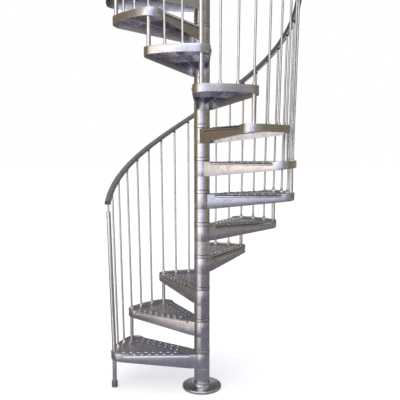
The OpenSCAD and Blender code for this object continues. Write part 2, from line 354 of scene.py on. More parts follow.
class Nodes:
    # a Geometry Nodes tree under construction
    def __init__(self, name):
        self.tree = bpy.data.node_groups.new(name, "GeometryNodeTree")
        for way in ("INPUT", "OUTPUT"):
            self.tree.interface.new_socket(name="Geometry", in_out=way, socket_type="NodeSocketGeometry")
        self.start = self.tree.nodes.new("NodeGroupInput")
        self.end = self.tree.nodes.new("NodeGroupOutput")

    def inputs(self, values):
        # a value is a number, or the word Object or Material
        for name, value in values.items():
            kind = value if isinstance(value, str) else "Int" if isinstance(value, int) else "Float"
            socket = self.tree.interface.new_socket(
                name=name, in_out="INPUT", socket_type="NodeSocket" + kind)
            if value != kind:
                socket.default_value = value
        return [self.start.outputs[name] for name in values]

    def add(self, kind, inputs=None, output=0, **settings):
        return addNode(self.tree, kind, inputs, "GeometryNode", **settings).outputs[output]

    def maths(self, operation, a, b=0.0):
        return addNode(self.tree, "Math", {0: a, 1: b}, operation=operation).outputs[0]

    def plus(self, a, b):
        return self.maths("ADD", a, b)

    def minus(self, a, b):
        return self.maths("SUBTRACT", a, b)

    def times(self, a, b):
        return self.maths("MULTIPLY", a, b)

    def vector(self, x, y, z):
        return addNode(self.tree, "CombineXYZ", {0: x, 1: y, 2: z}).outputs[0]

    def shapeOf(self, part):
        return self.add("ObjectInfo", {"Object": part}, "Geometry")

    def close(self, geometry, material):
        real = self.add("RealizeInstances", {0: geometry})
        painted = self.add("SetMaterial", {"Geometry": real, "Material": material})
        self.tree.links.new(painted, self.end.inputs[0])
        return self.tree


def runNodes(tree, values):
    # puts the tree on an empty mesh, sets its inputs by identifier and returns the plain mesh
    holder = newObject("holder", bpy.data.meshes.new("holder"))
    modifier = holder.modifiers.new("nodes", "NODES")
    modifier.node_group = tree
    for item in tree.interface.items_tree:
        if item.item_type == "SOCKET" and item.in_out == "INPUT" and item.name in values:
            modifier[item.identifier] = values[item.name]
    evaluated = holder.evaluated_get(bpy.context.evaluated_depsgraph_get())
    mesh = bpy.data.meshes.new_from_object(evaluated)
    holder.modifiers.remove(modifier)
    bpy.data.objects.remove(holder)
    return mesh


def sourcePart(mesh):
    # an unlinked object that a tree can read
    return bpy.data.objects.new("part", mesh)


def makeRingTree():
    # repeats a part round the stair: one at every step, at deck height or under the handrail
    n = Nodes("ringOfParts")
    (part, count, perTread, first, ring, lean, turnDegrees, startAngle, treadRise, deck, rail, stretch,
     fromRail, upright, material) = n.inputs({
        "Part": "Object", "Count": 3, "Parts per tread": 3, "First step": 0.0, "Ring radius": 0.5,
        "Lean": 0.0, "Turn": 30.0, "Start angle": 180.0, "Rise": 0.2, "Height at first tread": 0.2,
        "Handrail height": 1.2, "Stretch to handrail": 0.0, "Hang from handrail": 0.0, "Upright": 0.0,
        "Material": "Material"})
    points = n.add("Points", {"Count": count})
    index = n.add("InputIndex")
    step = n.plus(first, n.maths("DIVIDE", index, perTread))
    tread = n.maths("FLOOR", n.plus(step, 0.01))  # the small share guards against rounding down
    angle = n.maths("RADIANS", n.minus(startAngle, n.times(step, turnDegrees)))
    footZ = n.plus(deck, n.times(tread, treadRise))
    topZ = n.plus(rail, n.times(step, treadRise))
    run = n.minus(topZ, footZ)
    radius = n.plus(ring, n.times(fromRail, lean))
    z = n.plus(footZ, n.times(fromRail, run))
    place = n.vector(n.times(radius, n.maths("COSINE", angle)), n.times(radius, n.maths("SINE", angle)), z)
    tilt = n.times(n.maths("ARCTANGENT", n.maths("DIVIDE", lean, run)), n.minus(1.0, upright))
    length = n.maths("SQRT", n.plus(n.times(run, run), n.times(lean, lean)))
    tall = n.plus(1.0, n.times(stretch, n.minus(length, 1.0)))
    placed = n.add("SetPosition", {"Geometry": points, "Position": place})
    copies = n.add("InstanceOnPoints", {
        "Points": placed, "Instance": n.shapeOf(part), "Rotation": n.vector(0, tilt, angle),
        "Scale": n.vector(1, 1, tall)})
    return n.close(copies, material)


ringTree = makeRingTree()


def ringOfParts(mesh, material, **settings):
    return runNodes(ringTree, {
        "Part": sourcePart(mesh), "Parts per tread": stair["perTread"], "Ring radius": stair["ring"],
        "Lean": stair["lean"], "Turn": stair["turn"], "Start angle": stair["startAngle"], "Rise": rise,
        "Height at first tread": firstDeck, "Handrail height": railBase, "Material": material, **settings})


tread = {
    "rim": 0.602,  # radius of the rim's outer face
    "corner": 0.07,  # outer corners, seen from above
    "skirt": 0.0356,  # from the column's axis to the skirt's face, square to the skirt
    "sheet": 0.003,
    "rimDrop": 0.036, "landingDrop": 0.068,  # rim below the deck
    "hubDrop": 0.092,
    "edge": 0.0014, "hubEdge": 0.0011,  # rounded edges
    "taperFrom": 0.061, "taperTo": 0.602,  # the skirts get lower between these distances from the axis
    "curbRun": 0.036,  # over this length each end of the curb slopes down
    "inHub": 0.6,  # the skirts start at this share of the column's radius
    "rimStart": 1.2,  # degrees from a corner to the rim's first station
    "sideSteps": 40, "cornerSteps": 14, "rimSteps": 24, "hubSteps": 12,
}
nosing = {
    "from": 0.082, "to": 0.51,
    "top": 0.0036, "bottom": 0.0165,  # below the deck
    "proud": 0.0075, "back": 0.001,  # beyond the skirt and into it
    "sweep": 0.012, "sweepAt": (20, 40, 60, 75, 88), "thinnest": 0.08,  # the hub end curves up
    "line": 0.002, "lineProud": 0.0003,  # line of painted shade above and below the bar
    # outwards and upwards, in shares: the face looks a little upwards, with a round lip at the bottom
    "face": ((0.55, -0.98), (0.86, -0.9), (1.0, -0.72), (0.96, -0.45), (0.78, 0.1), (0.5, 0.62),
             (0.22, 0.94)),
    "steps": 16,
}
dimple = {
    "pitch": 0.049,
    "rows": ((0.0215, 0.1965, 0.0145), (0.0625, 0.1726, 0.0175)),  # inset, first one, half length
    "to": 0.53, "rimGap": 0.045,
    "middleGap": 0.004,  # from the tread's middle line
    "wide": 0.0125, "height": 0.0039, "padSquare": 4.5,
    "slotLong": 0.01, "slotWide": 0.0042, "slotSquare": 2.8,
    # share of the way from the pad's outline to the slot's, and of the height; the last is under the sheet
    "rings": ((0, 0.0), (0.05, 0.42), (0.17, 0.9), (0.4, 1.0), (0.9, 1.0), (1.0, 0.8), (1.0, None)),
    "segments": 28,
}
rib = {
    "thick": 0.003, "in": 0.0005,  # its top is this far into the sheet
    "from": 0.046, "deep": 0.06,  # the middle one at the hub
    "rimGap": 0.004, "rimShare": 0.7,  # and at the rim, where its depth is a share of the rim's drop
    "arcs": ((0.235, 0.03), (0.425, 0.024)),  # radius and depth
    "skirtGap": 0.002, "steps": 8, "arcSteps": 16,
}
pip = {
    "pitch": 0.0155, "radius": 0.0034, "height": 0.0009, "in": 0.0003,
    "from": 0.13, "to": 0.5,  # from the axis
    "margin": 0.062,  # from the wedge's sides
    "columns": 41, "rows": 23,
    "dome": ((0.8, 0.75), (0.45, 1.0)),  # shares of its radius and height
    "centre": 0.36,  # middle of the lattice
    "segments": 8,
}


def treadLine():
    # stations round the tread's outline: point, inward direction
    s, rim, corner = tread["skirt"], tread["rim"], tread["corner"]
    reach = rim - corner
    tuck = asin((s - corner) / reach)
    off = splay + tuck
    first = radians(tread["rimStart"])
    start, stop = columnRadius * tread["inHub"], reach * cos(tuck)

    def along(angle, side):
        out, across = ray(angle), ray(angle).orthogonal() * side
        count = tread["sideSteps"]
        return [(out * blend(start, stop, k / count) + across * s, -across) for k in range(count)]

    def around(centre, angleA, angleB, count, radius):
        rays = [ray(blend(angleA, angleB, k / count)) for k in range(count + 1)]
        return [(centre + out * radius, -out) for out in rays]

    stations = along(splay, 1)
    stations += around(ray(off) * reach, pi / 2 + splay, off, tread["cornerSteps"], corner)
    stations += around(Vector((0, 0)), off - first, first - turn - off, tread["rimSteps"], rim)
    stations += around(ray(-turn - off) * reach, -turn - off, -turn - pi / 2 - splay,
                       tread["cornerSteps"], corner)
    stations += reversed(along(-turn - splay, -1))
    return stations


def wallRows(point, rimDrop):
    # heights of the skirt's lower edge and of the curb at a station
    x = point.x * cos(turn / 2) - point.y * sin(turn / 2)
    share = (x - tread["taperFrom"]) / (tread["taperTo"] - tread["taperFrom"])
    low = blend(-tread["hubDrop"], -rimDrop, min(1, max(0, share)))
    skirtTurn = turn / 2 + splay
    full = (tread["rim"] - tread["corner"]) * cos(skirtTurn) - tread["skirt"] * sin(skirtTurn)
    top = stair["curb"] * min(1, max(0, 1 - (full - x) / tread["curbRun"]))
    return low, top


def padLoop(centre, angle, halfLong, halfWide, square):
    # an oblong whose corners get squarer as 'square' grows, its long axis square to the edge
    loop = []
    for k in range(dimple["segments"]):
        a = tau * (k + 0.5) / dimple["segments"]
        c, d = cos(a), sin(a)
        x = halfWide * copysign(abs(c) ** (2 / square), c)
        y = halfLong * copysign(abs(d) ** (2 / square), d)
        loop.append(Vector((centre.x + x * cos(angle) - y * sin(angle),
                            centre.y + x * sin(angle) + y * cos(angle))))
    return loop


def dimplePlaces():
    # two staggered rows along each side edge: centre, direction of the edge, half length
    places = []
    for side, angle in ((1, splay), (-1, -turn - splay)):
        out, across = ray(angle), ray(angle).orthogonal() * side
        for inset, first, halfLong in dimple["rows"]:
            d = first
            while d < dimple["to"]:
                centre = out * d + across * (tread["skirt"] - inset)
                fromMiddle = abs(centre.y * cos(turn / 2) + centre.x * sin(turn / 2))
                clear = fromMiddle > halfLong + dimple["middleGap"]
                if clear and centre.length < tread["rim"] - dimple["rimGap"]:
                    places.append((centre, angle, halfLong))
                d += dimple["pitch"]
    return places


def pointInside(p, loop):
    inside = False
    for a, b in zip(loop, loop[1:] + loop[:1]):
        if (a.y > p.y) != (b.y > p.y) and p.x < (b.x - a.x) * (p.y - a.y) / (b.y - a.y) + a.x:
            inside = not inside
    return inside


def fillPlane(bm, boundary, holes, height):
    # a flat sheet with holes; its outlines are merged with what they touch later on
    points, edges = [], []
    for loop in [boundary] + holes:
        first = len(points)
        points.extend(Vector((p.x, p.y)) for p in loop)
        edges.extend((first + k, first + (k + 1) % len(loop)) for k in range(len(loop)))
    flat, _, faces, *_ = delaunay_2d_cdt(points, edges, [], 2, 1e-7)
    verts = placeVerts(bm, [(p, height) for p in flat])
    centres = [sum(loop, Vector((0, 0))) / len(loop) for loop in holes]
    reach = [max((p - c).length for p in loop) for loop, c in zip(holes, centres)]
    for face in faces:
        middle = sum((flat[k] for k in face), Vector((0, 0))) / len(face)
        inHole = any((middle - centre).length < far and pointInside(middle, loop)
                     for loop, centre, far in zip(holes, centres, reach))
        if not inHole and pointInside(middle, boundary):
            bm.faces.new([verts[k] for k in face])


def closeAtHub(loop):
    # closes a side-to-side loop round the hub, on the tread's side of it
    a, b = [atan2(end.y, end.x) for end in (loop[-1], loop[0])]
    count = tread["hubSteps"]
    return loop + [ray(blend(a, b, k / count)) * loop[0].length for k in range(1, count)]


def treadShell(rimDrop):
    e, t = tread["edge"], tread["sheet"]
    bm = bmesh.new()
    loops, topLoop, underLoop = [], [], []
    for point, inward in treadLine():
        low, top = wallRows(point, rimDrop)
        # distance inwards and height, from the deck's underside, round the skirt and the curb, to the deck
        rows = [
            (t + 2 * e, -t), (t + 0.3 * e, -t - 0.5 * e), (t, -t - 2 * e), (t, low + e),
            (t - e * 0.3, low + e * 0.3), (t - e, low), (e, low), (e * 0.3, low + e * 0.3), (0, low + e),
            (0, top - e), (e * 0.3, top - e * 0.3), (e, top),
            (t - e * 0.4, top), (t, max(0, top - e * 0.4)), (t + e * 0.2, e * 1.2 if top > e * 2 else 0),
            (t + 2 * e, 0),
        ]
        spots = [(point + inward * d, z) for d, z in rows]
        loops.append(placeVerts(bm, spots))
        topLoop.append(spots[-1][0])
        underLoop.append(spots[0][0])
    for a, b in zip(loops, loops[1:]):
        bridge(bm, a, b, closed=False)
    places = dimplePlaces()
    pad, slot = (dimple["wide"], dimple["padSquare"]), (dimple["slotWide"], dimple["slotSquare"])
    pads = [padLoop(c, a, long, *pad) for c, a, long in places]
    slots = [padLoop(c, a, dimple["slotLong"], *slot) for c, a, long in places]
    fillPlane(bm, closeAtHub(topLoop), pads, 0.0)
    fillPlane(bm, closeAtHub(underLoop), slots, -t)
    for centre, angle, long in places:
        rings = []
        for share, z in dimple["rings"]:
            height = -t if z is None else z * dimple["height"]
            loop = padLoop(centre, angle, blend(long, dimple["slotLong"], share),
                           blend(pad[0], slot[0], share), blend(pad[1], slot[1], share))
            rings.append(placeVerts(bm, [(p, height) for p in loop]))
        for a, b in zip(rings, rings[1:]):
            bridge(bm, a, b)
    bmesh.ops.remove_doubles(bm, verts=bm.verts, dist=2e-6)
    return smoothMesh(bm, sharpAngle=40)


def closedBar(bm, rings):
    for a, b in zip(rings, rings[1:]):
        bridge(bm, a, b)
    bm.faces.new(rings[0])
    bm.faces.new(rings[-1])


def nosingMesh(front):
    # rounded bar along the top of a skirt, square at its outer end and swept up at the hub end
    side = 1 if front else -1
    s, sweep, count = tread["skirt"], nosing["sweep"], nosing["steps"]
    inner, outer = nosing["from"] + sweep, nosing["to"]
    places = [(blend(outer, inner, k / count), 1.0) for k in range(count + 1)]
    for a in nosing["sweepAt"]:
        places.append((inner - sweep * sin(radians(a)), max(nosing["thinnest"], cos(radians(a)))))
    bm = bmesh.new()
    shadedSeam = bm.verts.layers.float.new("shadedSeam")
    rings = []
    for x, full in places:
        low = -blend(nosing["top"], nosing["bottom"], full)
        middle, half = (low - nosing["top"]) / 2, (-nosing["top"] - low) / 2
        line, back, flush = nosing["line"] * full, s - nosing["back"], s + nosing["lineProud"]
        # points marked 1 are the lines above and below the bar, which get painted shade
        ring = [(back, middle - half - line, 1), (flush, middle - half - line, 1), (flush, middle - half, 1)]
        ring += [(s + nosing["proud"] * out, middle + half * up, 0) for out, up in nosing["face"]]
        ring += [(flush, middle + half, 1), (flush, middle + half + line, 1),
                 (back, middle + half + line, 1)]
        rings.append([bm.verts.new((x, side * y, z)) for y, z, paintedShade in ring])
        for vert, (y, z, paintedShade) in zip(rings[-1], ring):
            vert[shadedSeam] = paintedShade
    closedBar(bm, rings)
    mesh = smoothMesh(bm, sharpAngle=50)
    mesh.transform(Matrix.Rotation(splay if front else -turn - splay, 4, "Z"))
    return mesh


# the column's parts are tubes between the treads' hubs
column = {
    "wall": 0.006, "chamfer": 0.0014, "segments": 72,
    "proud": 0.0012,  # rings beyond the column
    "shadedSeam": 0.0018, "seamIn": 0.0006, "seamWall": 0.004,  # line of painted shade above and below each ring
}


def hubMesh():
    r, low, high, e = columnRadius, -tread["hubDrop"], hubProud, tread["hubEdge"]
    bore = r - column["wall"]
    rows = [(bore, low), (r - e, low), (r - 0.3 * e, low + 0.3 * e), (r, low + e),
            (r, high - e), (r - 0.3 * e, high - 0.3 * e), (r - e, high), (bore, high)]
    return lathe(rows, column["segments"])


def ribMesh(rimDrop):
    # webs under the deck: one along the middle and two arcs across it
    bm = bmesh.new()

    def web(points, drops):
        rings = []
        for (p, across), drop in zip(points, drops):
            side = across * (rib["thick"] / 2)
            top = rib["in"] - tread["sheet"]
            corners = [(p - side, top), (p + side, top), (p + side, -drop), (p - side, -drop)]
            rings.append(placeVerts(bm, corners))
        closedBar(bm, rings)

    out, count = ray(-turn / 2), rib["steps"]
    shares = [k / count for k in range(count + 1)]
    web([(out * blend(rib["from"], tread["rim"] - rib["rimGap"], k), out.orthogonal()) for k in shares],
        [blend(rib["deep"], rimDrop * rib["rimShare"], k) for k in shares])
    for radius, drop in rib["arcs"]:
        half = turn / 2 + splay + asin((tread["skirt"] - rib["skirtGap"]) / radius)
        count = rib["arcSteps"]
        rays = [ray(blend(-half, half, k / count) - turn / 2) for k in range(count + 1)]
        web([(out * radius, out) for out in rays], [drop] * len(rays))
    return smoothMesh(bm, sharpAngle=30)


def makePipTree():
    # a triangular lattice of pips, kept inside a wedge between the rows of slots
    n = Nodes("pipField")
    part, pitch, columns, rows, centre, low, high, half, margin, middle, material = n.inputs({
        "Part": "Object", "Pitch": 0.016, "Columns": 40, "Rows": 22, "Centre": 0.3, "Inner radius": 0.2,
        "Outer radius": 0.5, "Half angle": 0.26, "Margin": 0.07, "Middle angle": 0.0,
        "Material": "Material"})
    across = n.times(pitch, sqrt(3) / 2)  # from one row of the lattice to the next
    grid = n.add("MeshGrid", {
        "Size X": n.times(pitch, n.minus(columns, 1.0)), "Size Y": n.times(across, n.minus(rows, 1.0)),
        "Vertices X": columns, "Vertices Y": rows})
    index = n.add("InputIndex")
    odd = n.maths("MODULO", n.maths("MODULO", index, rows), 2.0)
    shift = n.plus(centre, n.times(odd, n.maths("DIVIDE", pitch, 2.0)))
    moved = n.add("SetPosition", {"Geometry": grid, "Offset": n.vector(shift, 0.0, 0.0)})
    xyz = addNode(n.tree, "SeparateXYZ", {0: n.add("InputPosition")}).outputs
    x, y = xyz[0], n.maths("ABSOLUTE", xyz[1])
    radius = n.maths("SQRT", n.plus(n.times(x, x), n.times(y, y)))
    fromEdge = n.minus(n.times(x, n.maths("SINE", half)), n.times(y, n.maths("COSINE", half)))
    outside = n.maths("MAXIMUM", n.maths("LESS_THAN", radius, low), n.maths("GREATER_THAN", radius, high))
    outside = n.maths("MAXIMUM", outside, n.maths("LESS_THAN", fromEdge, margin))
    kept = n.add("DeleteGeometry", {"Geometry": moved, "Selection": outside}, domain="POINT")
    copies = n.add("InstanceOnPoints", {"Points": kept, "Instance": n.shapeOf(part)})
    turned = n.add("Transform", {"Geometry": copies, "Rotation": n.vector(0, 0, middle)})
    return n.close(turned, material)


def pipMesh():
    bm = bmesh.new()
    rows = [(pip["radius"], -pip["in"])] + [(pip["radius"] * a, pip["height"] * b) for a, b in pip["dome"]]
    closedBar(bm, [circle(bm, radius, z, pip["segments"]) for radius, z in rows])
    return smoothMesh(bm, sharpAngle=60)


pips = runNodes(makePipTree(), {
    "Part": sourcePart(pipMesh()), "Pitch": pip["pitch"], "Columns": pip["columns"], "Rows": pip["rows"],
    "Centre": pip["centre"], "Inner radius": pip["from"], "Outer radius": pip["to"], "Half angle": turn / 2,
    "Margin": pip["margin"], "Middle angle": -turn / 2, "Material": treadZinc})


def makeTreadMesh(rimDrop):
    return joinMeshes([treadShell(rimDrop), nosingMesh(True), nosingMesh(False), hubMesh(),
                       ribMesh(rimDrop), pips])


plainTread = makeTreadMesh(tread["rimDrop"])
landingTread = makeTreadMesh(tread["landingDrop"])
for n in allTreads:
    last = n == stair["treads"]
    node = "landing_tread" if last else f"tread_{n:02d}"
    mesh = (landingTread if last else plainTread).copy()
    mesh.transform(Matrix.Translation((0, 0, deckHeight(n))) @ Matrix.Rotation(stepAngle(n - 1), 4, "Z"))
    addPiece(node + "_pressed", mesh, treadZinc, node)
print("treads made:", len(plainTread.polygons), "faces each")


def tubeMesh(low, high, radius, bore, c, segments):
    # both ends of the tube have a chamfer c
    return lathe([(bore, low), (radius - c, low), (radius, low + c), (radius, high - c), (radius - c, high),
                  (bore, high)], segments)


def shadedSeamMesh(low, high):
    # a ring set back a little between two parts of the column, with painted shade
    bore, out = columnRadius - column["seamWall"], columnRadius - column["seamIn"]
    return lathe([(bore, low, 1), (out, low, 1), (out, high, 1), (bore, high, 1)], column["segments"])


def makeColumn():
    # sleeves between the hubs, and a thin ring on top of each hub
    shape = (columnRadius - column["wall"], column["chamfer"], column["segments"])
    shadedSeam, out = column["shadedSeam"], columnRadius + column["proud"]
    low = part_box("spacer_sleeves")[0].z
    hubTop = sleeveLow.z - deckHeight(stair["treads"])
    sleeves, rings = [], []
    for n in allTreads:
        sleeves.append(tubeMesh(low, deckHeight(n) - tread["hubDrop"], columnRadius, *shape))
        low = deckHeight(n) + hubTop
        ringLow = deckHeight(n) + hubProud
        rings += [tubeMesh(ringLow + shadedSeam, low - shadedSeam, out, *shape), shadedSeamMesh(ringLow, ringLow + shadedSeam),
                  shadedSeamMesh(low - shadedSeam, low)]
    addPiece("column_sleeves", joinMeshes(sleeves), columnZinc, "spacer_sleeves")
    addPiece("column_rings", joinMeshes(rings), columnZinc, "levelling_rings")
    newel = tubeMesh(low, sleeveHigh.z, columnRadius, *shape)
    addPiece("newel_tube", newel, columnZinc, "newel_sleeve")


base = {
    "thick": 0.02, "bore": 0.044, "segments": 96,
    "chamfer": 0.0012, "edge": 0.0065,  # lower and upper edge
    # outwards from the column and upwards from the plate
    "weld": ((0.0102, 0.0), (0.0084, 0.0006), (0.0072, 0.0014), (0.0066, 0.003)),
    "flare": 0.0035, "flareTop": 0.003, "curve": 1.6, "steps": 5,
    "lipBelow": 0.002, "lip": ((0.0022, -0.0008), (0.001, 0.0), (0.0002, -0.0006)),  # from the collar's top
}


def makeBase():
    low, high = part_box("base_plate")
    r, e, c, count = high.x, base["edge"], columnRadius, base["steps"]
    plate = low.z + base["thick"]
    weldTop = plate + base["weld"][-1][1]
    rows = [(base["bore"], 0.0), (r - base["chamfer"], 0.0), (r, base["chamfer"])]
    rows += arcPoints(r - e, plate - e, e, 0, 90, count)
    rows += [(c + out, plate + up) for out, up in base["weld"]]
    rows += [(c + base["flareTop"] + base["flare"] * (1 - k / count) ** base["curve"],
              blend(weldTop, high.z - base["lipBelow"], k / count)) for k in range(1, count + 1)]
    rows += [(c + out, high.z + up) for out, up in base["lip"]]
    rows += [(c + base["lip"][-1][0], plate), (base["bore"], plate)]
    addPiece("base_flange", lathe(rows, base["segments"]), columnZinc, "base_plate")


# the side is the upright share of its height
cap = {"chamfer": 0.001, "side": 0.42, "domeAt": (12, 26, 40, 54, 68, 80)}


def makeCap():
    low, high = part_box("column_cap")
    r, c = high.x, cap["chamfer"]
    dome = blend(low.z, high.z, cap["side"])
    rows = [(0, low.z), (r - c, low.z), (r, low.z + c), (r, dome)]
    rows += [(r * cos(radians(a)), blend(dome, high.z, sin(radians(a)))) for a in cap["domeAt"]]
    rows += [(0, high.z)]
    addPiece("newel_cap", lathe(rows, column["segments"]), blackPlastic, "column_cap")


makeColumn()
makeBase()
makeCap()
print("column made")

rod = {"radius": 0.0065, "clear": 0.0001, "belowStrip": 0.0035, "segments": 24}
cone = {
    "radius": 0.017, "height": 0.03, "edge": 0.0006, "segments": 28,
    "side": 0.003,  # height of its upright side
    "step": 0.004, "stepIn": 0.0008, "curveIn": 0.0014, "curve": 2.1, "steps": 9,
    "top": 0.0012,  # beyond the rod
}
collar = {"wall": 0.003, "chamfer": 0.0012, "from": 0.012, "to": 0.0025, "segments": 24}  # below the strip
nut = {"radius": 0.008, "length": 0.026, "chamfer": 0.0015, "flange": 0.003, "flangeHeight": 0.0035,
       "flangeSlope": 0.0005, "segments": 24}
tie = {"radius": 0.012, "wall": 0.0025, "chamfer": 0.0006, "segments": 32}
post = {
    "radius": 0.014, "neck": 0.05, "shoulder": 0.006,  # the neck is its thin top's length
    "edge": (0.0009, 0.0008), "root": (0.0024, 0.0006),  # across and upwards
    "belowStrip": 0.001, "intoFoot": 0.01, "segments": 36,
}
foot = {
    "radius": 0.0208, "chamfer": 0.001, "segments": 40,
    "side": 0.005, "stepIn": 0.0012, "stepUp": 0.0062, "round": 0.005, "roundBelow": 0.006,
    "mouth": ((0.0145, 0.0008), (0.0142, 0.002)),  # radius, and depth below the top
}


def rodMesh():
    # one metre tall, to be stretched
    bm = bmesh.new()
    closedBar(bm, [circle(bm, rod["radius"], z, rod["segments"]) for z in (0.0, 0.25, 0.5, 0.75, 1.0)])
    return smoothMesh(bm, sharpAngle=50)


def coneMesh():
    # a bell: a short upright edge, then a hollow curve up to the rod
    r, h, hole, e = cone["radius"], cone["height"], rod["radius"] + rod["clear"], cone["edge"]
    top, count = rod["radius"] + cone["top"], cone["steps"]
    rows = [(hole, 0.0), (r - e, 0.0), (r, e), (r, cone["side"]), (r - cone["stepIn"], cone["step"])]
    rows += [(top + (r - cone["curveIn"] - top) * (1 - k / count) ** cone["curve"],
              blend(cone["step"], h - e, k / count)) for k in range(1, count + 1)]
    rows += [(top - e, h), (hole, h)]
    return lathe(rows, cone["segments"])


def collarMesh():
    r, hole, c = rod["radius"] + collar["wall"], rod["radius"] + rod["clear"], collar["chamfer"]
    low, high = -collar["from"], -collar["to"]
    return lathe([(hole, low), (r - c, low), (r, low + c), (r, high), (hole, high)], collar["segments"])


def nutMesh():
    r, high, c = nut["radius"], -tread["sheet"], nut["chamfer"]
    low, flange = high - nut["length"], high - nut["flangeHeight"]
    wide = r + nut["flange"]
    rows = [(0, low), (r - c, low), (r, low + c), (r, flange - nut["flangeSlope"]),
            (wide, flange), (wide, high), (0, high)]
    return lathe(rows, nut["segments"])


def partsOfTread(part, material, n, skip, **settings):
    # a part at each baluster of a tread, but not at the first one where 'skip' is 1
    return ringOfParts(part, material, **{
        "Count": stair["perTread"] - skip, "First step": n - 1 + skip / stair["perTread"], **settings})


def aroundStair(name, part, material, slotName, node, skips, **settings):
    meshes = [partsOfTread(part, material, n, skip, **settings) for n, skip in skips.items()]
    addPiece(name, joinMeshes(meshes), material, node)


# a post takes the first baluster's place on its tread
skips = {n: 1 if n in (1, stair["postTread"]) else 0 for n in allTreads}
rodPart = rodMesh()
for n, skip in skips.items():
    rods = partsOfTread(rodPart, brightTube, n, skip, **{
        "Handrail height": railBase - rod["belowStrip"], "Stretch to handrail": 1.0})
    addPiece(f"rods_{n:02d}", rods, brightTube, f"balusters_{n:02d}")
aroundStair("foot_cones", coneMesh(), brightTube, "tube_steel", "baluster_cones", skips)
aroundStair("top_collars", collarMesh(), blackPlastic, "black_cap", "baluster_collars", skips,
            **{"Hang from handrail": 1.0})
aroundStair("deck_nuts", nutMesh(), brightTube, "tube_steel", "baluster_nuts", dict.fromkeys(allTreads, 1),
            Upright=1.0)
tiePart = tubeMesh(0.0, rise - tread["sheet"], tie["radius"], tie["radius"] - tie["wall"], tie["chamfer"],
                   tie["segments"])
ties = ringOfParts(tiePart, brightTube, **{
    "Count": stair["treads"] - 1, "Parts per tread": 1, "First step": 1.0, "Upright": 1.0,
    "Height at first tread": firstDeck - rise})
addPiece("tie_rods", ties, brightTube, "tie_tubes")


def makePost(name, n, step, node, extra=()):
    # stands on tread n; the step counts from the first post and has the handrail's height
    low, high = deckHeight(n), railBase + step * rise - post["belowStrip"]
    tilt, length = atan2(stair["lean"], high - low), hypot(high - low, stair["lean"])
    r, neck, top = post["radius"], rod["radius"], length - post["neck"]
    shoulder = top - post["shoulder"]
    rows = [(0, 0.0), (r, 0.0), (r, shoulder), (r - post["edge"][0], shoulder + post["edge"][1]),
            (neck + post["root"][0], top), (neck, top + post["root"][1]), (neck, length), (0, length)]
    mesh = lathe(rows, post["segments"])
    mesh.transform(Matrix.Rotation(stepAngle(step), 4, "Z") @ Matrix.Translation((stair["ring"], 0, low))
                   @ Matrix.Rotation(tilt, 4, "Y"))
    addPiece(name, joinMeshes([mesh, *extra]), brightTube, node)


def footMesh(high):
    r, c, e, inner = foot["radius"], foot["chamfer"], foot["round"], foot["radius"] - foot["stepIn"]
    rows = [(0, 0.0), (r - c, 0.0), (r, c), (r, foot["side"]), (inner, foot["stepUp"])]
    rows += arcPoints(inner - e, high - foot["roundBelow"], e, 0, 80, 4)
    rows += [(radius, high - depth) for radius, depth in foot["mouth"]]
    rows += [(0, rows[-1][1])]
    return lathe(rows, foot["segments"])


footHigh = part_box("start_foot")[1].z
atFirstPost = Matrix.Rotation(stepAngle(0), 4, "Z") @ Matrix.Translation((stair["ring"], 0, 0))
stemLow, stemHigh = footHigh - post["intoFoot"], firstDeck - tread["sheet"]
stem = lathe([(0, stemLow), (post["radius"], stemLow), (post["radius"], stemHigh), (0, stemHigh)],
             post["segments"])
stem.transform(atFirstPost)
makePost("newel_start", 1, 0, "start_post", [stem])
makePost("newel_middle", stair["postTread"], stair["postTread"] - 1, "middle_post")
makePost("newel_end", stair["treads"], stair["treads"], "end_post")
footPart = footMesh(footHigh)
footPart.transform(atFirstPost)
addPiece("newel_foot", footPart, footMetal, "start_foot")
print("balustrade made")

rail = {
    "width": 0.038, "height": 0.033,
    "crown": 0.48, "crownSteps": 9,  # radius of the upper edges, as a share of the width
    "lip": 0.008, "lipSteps": 4,  # radius of the lower edges
    "strip": 0.02, "stripHeight": 0.005, "stripSlack": 0.0005,
    "cap": 0.004, "capProud": 0.001, "ringsPerTurn": 220, "capRings": 600,
}


def makeRailTree():
    # sweeps a profile along the helix of the handrail
    n = Nodes("helixBar")
    profile, turns, radius, height, angle, start, perTurn, material = n.inputs({
        "Profile": "Object", "Turns": 1.0, "Radius": 0.6, "Height": 2.0, "Start angle": 0.0,
        "Start height": 1.0, "Rings per turn": 200, "Material": "Material"})
    helix = n.add("CurveSpiral", {
        "Resolution": perTurn, "Rotations": turns, "Start Radius": radius, "End Radius": radius,
        "Height": height, "Reverse": False})
    placed = n.add("Transform", {
        "Geometry": helix, "Rotation": n.vector(0, 0, angle), "Translation": n.vector(0, 0, start)})
    upright = n.add("SetCurveNormal", {"Curve": placed}, mode="Z_UP")
    bar = n.add("CurveToMesh", {"Curve": upright, "Profile Curve": n.shapeOf(profile), "Fill Caps": True})
    smooth = n.add("SetShadeSmooth", {"Geometry": bar, "Shade Smooth": True})
    return n.close(smooth, material)


railTree = makeRailTree()


def profileCurve(points):
    # the sweep turns a profile upside down, so it is drawn that way
    curve = bpy.data.curves.new("profile", "CURVE")
    curve.dimensions = "2D"
    curve.fill_mode = "NONE"
    spline = curve.splines.new("POLY")
    spline.points.add(len(points) - 1)
    for target, (x, y) in zip(spline.points, points):
        target.co = (x, -y, 0, 1)
    spline.use_cyclic_u = True
    return bpy.data.objects.new("profile", curve)


def helixBar(points, start, stop, ringsPerTurn):
    # degrees are counted from the first post, up the stair
    perDegree = rise / stair["turn"]
    return runNodes(railTree, {
        "Profile": profileCurve(points), "Turns": (stop - start) / 360, "Radius": helixRadius,
        "Height": (stop - start) * perDegree, "Start angle": radians(stair["startAngle"] - start),
        "Start height": railBase + start * perDegree, "Rings per turn": ringsPerTurn,
        "Material": railPlastic})


